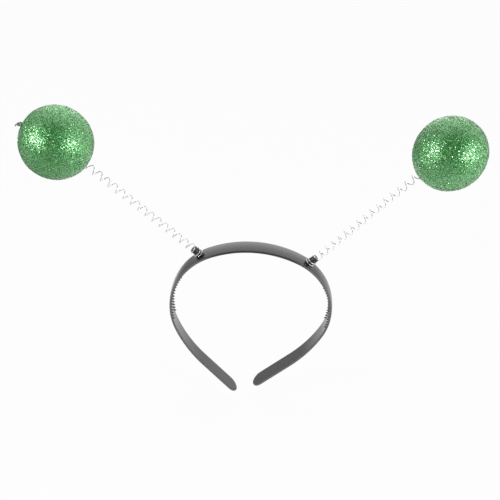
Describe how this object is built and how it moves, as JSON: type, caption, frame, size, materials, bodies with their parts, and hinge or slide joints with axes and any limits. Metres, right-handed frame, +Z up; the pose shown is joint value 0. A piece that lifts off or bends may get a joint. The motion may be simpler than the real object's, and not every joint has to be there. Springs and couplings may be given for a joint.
{
  "type": "antenna headband",
  "caption": "Sprung plastic headband with inner comb teeth and glitter-coated foam balls bobbing on wire springs above the crown.",
  "frame": {"origin": "middle of the crown's inner face, where the band rests on top of the head", "axes": "as worn: +Z up, X from ear to ear with -X on the left of the picture, +Y away from the viewer, the arch in the XZ plane"},
  "size_m": [0.3734, 0.06, 0.2684],
  "materials": {
    "band_plastic": "satin charcoal moulded plastic",
    "peg_plastic": "near-black plastic",
    "spring_wire": "bright drawn steel wire",
    "ball_foam": null,
    "green_glitter": "green foil glitter set in clear glue",
    "glue": "set glue with a little glitter in it"
  },
  "bodies": {
    "crown": {"crown_band": "band_plastic", "left_peg": "peg_plastic", "right_peg": "peg_plastic"},
    "left_arm": {"left_arm": "band_plastic", "left_comb_teeth": "band_plastic"},
    "right_arm": {"right_arm": "band_plastic", "right_comb_teeth": "band_plastic"},
    "left_spring": {"left_spring": "spring_wire"},
    "right_spring": {"right_spring": "spring_wire"},
    "left_ball": {"left_ball_core": "ball_foam", "left_glitter_coat": "green_glitter", "left_glue_plug": "glue"},
    "right_ball": {"right_ball_core": "ball_foam", "right_glitter_coat": "green_glitter", "right_glue_plug": "glue"}
  },
  "joints": [
    {"name": "left_arm_flex", "type": "hinge", "parent": "crown", "child": "left_arm", "pos_m": [-0.05222, 0, -0.01704], "axis": [0, 1, 0], "range_deg": [0, 25], "stiffness_Nm_per_rad": 0.43},
    {"name": "right_arm_flex", "type": "hinge", "parent": "crown", "child": "right_arm", "pos_m": [0.05222, 0, -0.01704], "axis": [0, -1, 0], "range_deg": [0, 25], "stiffness_Nm_per_rad": 0.43},
    {"name": "left_sway", "type": "hinge", "parent": "crown", "child": "left_spring", "pos_m": [-0.05081, 0, -0.00481], "axis": [0, -1, 0], "range_deg": [-45, 45], "stiffness_Nm_per_rad": 0.065, "springref_deg": -9.85, "deforming": ["left_spring"]},
    {"name": "right_sway", "type": "hinge", "parent": "crown", "child": "right_spring", "pos_m": [0.05081, 0, -0.00481], "axis": [0, 1, 0], "range_deg": [-45, 45], "stiffness_Nm_per_rad": 0.065, "springref_deg": -8.48, "deforming": ["right_spring"]},
    {"name": "left_nod", "type": "hinge", "parent": "left_spring", "child": "left_ball", "pos_m": [-0.09487, 0, 0.02974], "axis": [-0.617, 0, -0.7869], "range_deg": [-45, 45], "stiffness_Nm_per_rad": 0.025, "deforming": ["left_spring"]},
    {"name": "right_nod", "type": "hinge", "parent": "right_spring", "child": "right_ball", "pos_m": [0.08806, 0, 0.037], "axis": [0.7466, 0, -0.6652], "range_deg": [-45, 45], "stiffness_Nm_per_rad": 0.025, "deforming": ["right_spring"]}
  ]
}
